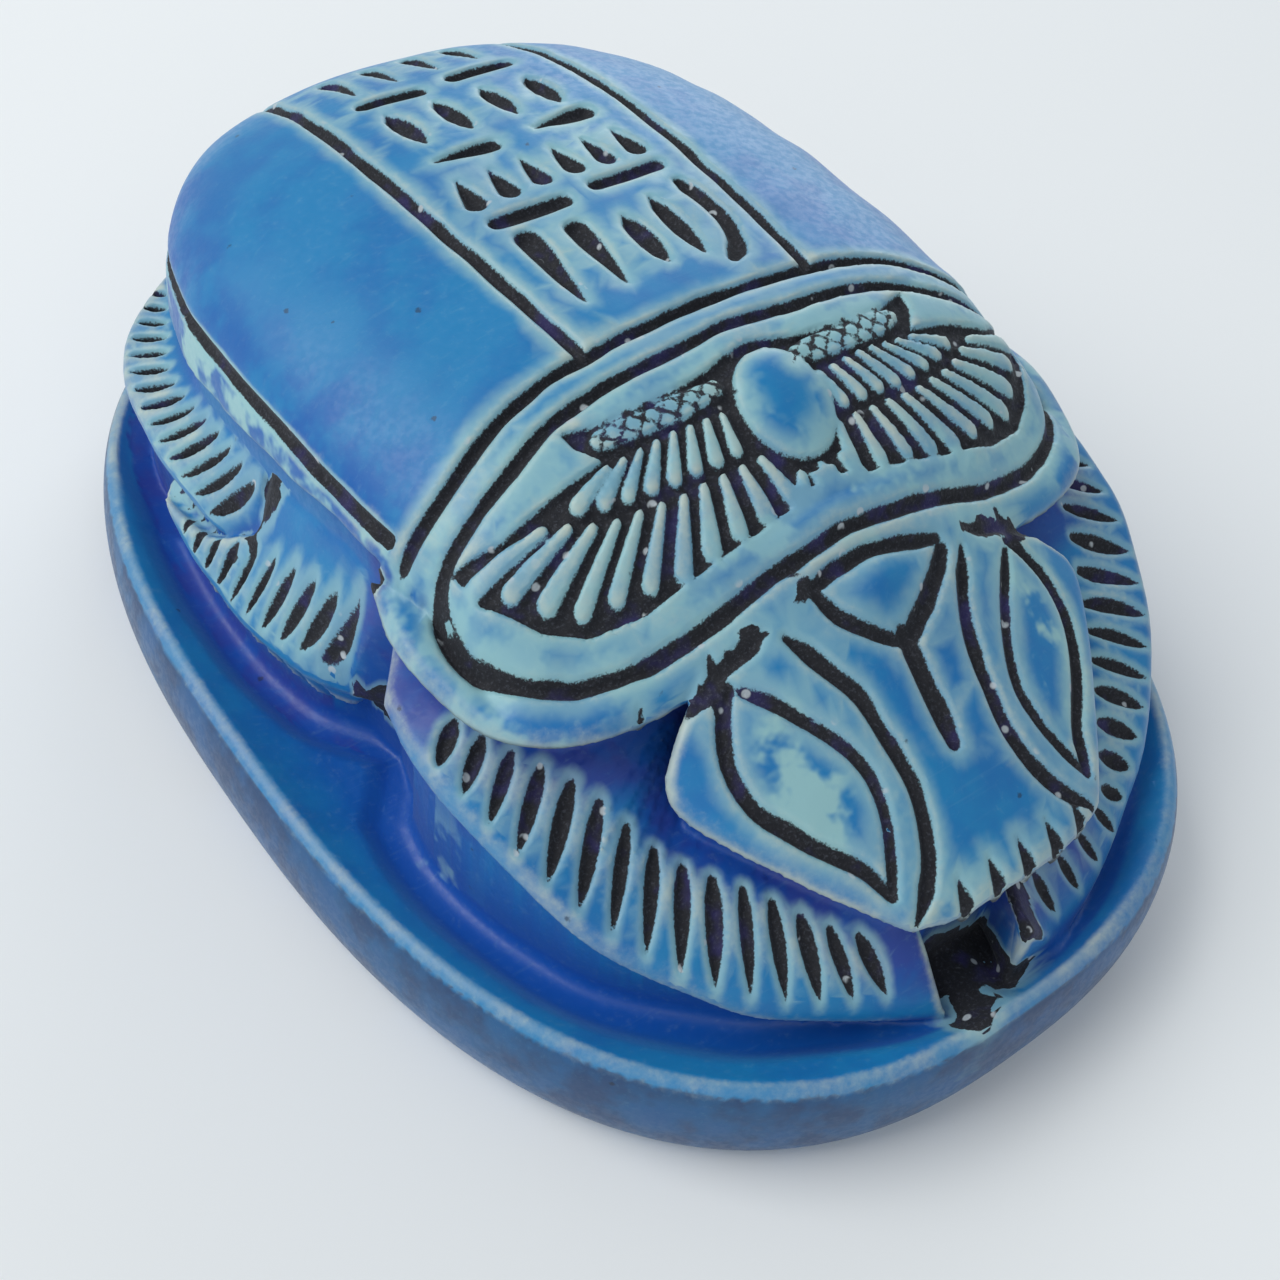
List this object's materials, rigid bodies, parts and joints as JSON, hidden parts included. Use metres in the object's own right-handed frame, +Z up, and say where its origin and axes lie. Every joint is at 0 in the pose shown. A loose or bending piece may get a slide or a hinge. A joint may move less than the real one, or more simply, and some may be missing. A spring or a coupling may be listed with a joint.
{
  "type": "scarab amulet",
  "caption": "Glazed blue scarab: carved beetle with striated legs, domed wing cases and a winged disc, on an oval base slab with a rounded rim.",
  "frame": {"origin": "middle of the flat underside", "axes": "+Z up, from the underside to the domed wing cases; the head points to -Y; +X is to the right when looking from the head to the tail"},
  "size_m": [0.068, 0.092, 0.0356],
  "materials": {
    "blue_glaze": "soft gloss glaze, pale on worn edges, dark grey in the carving"
  },
  "bodies": {
    "root": {"scarab_amulet": "blue_glaze"}
  },
  "joints": []
}
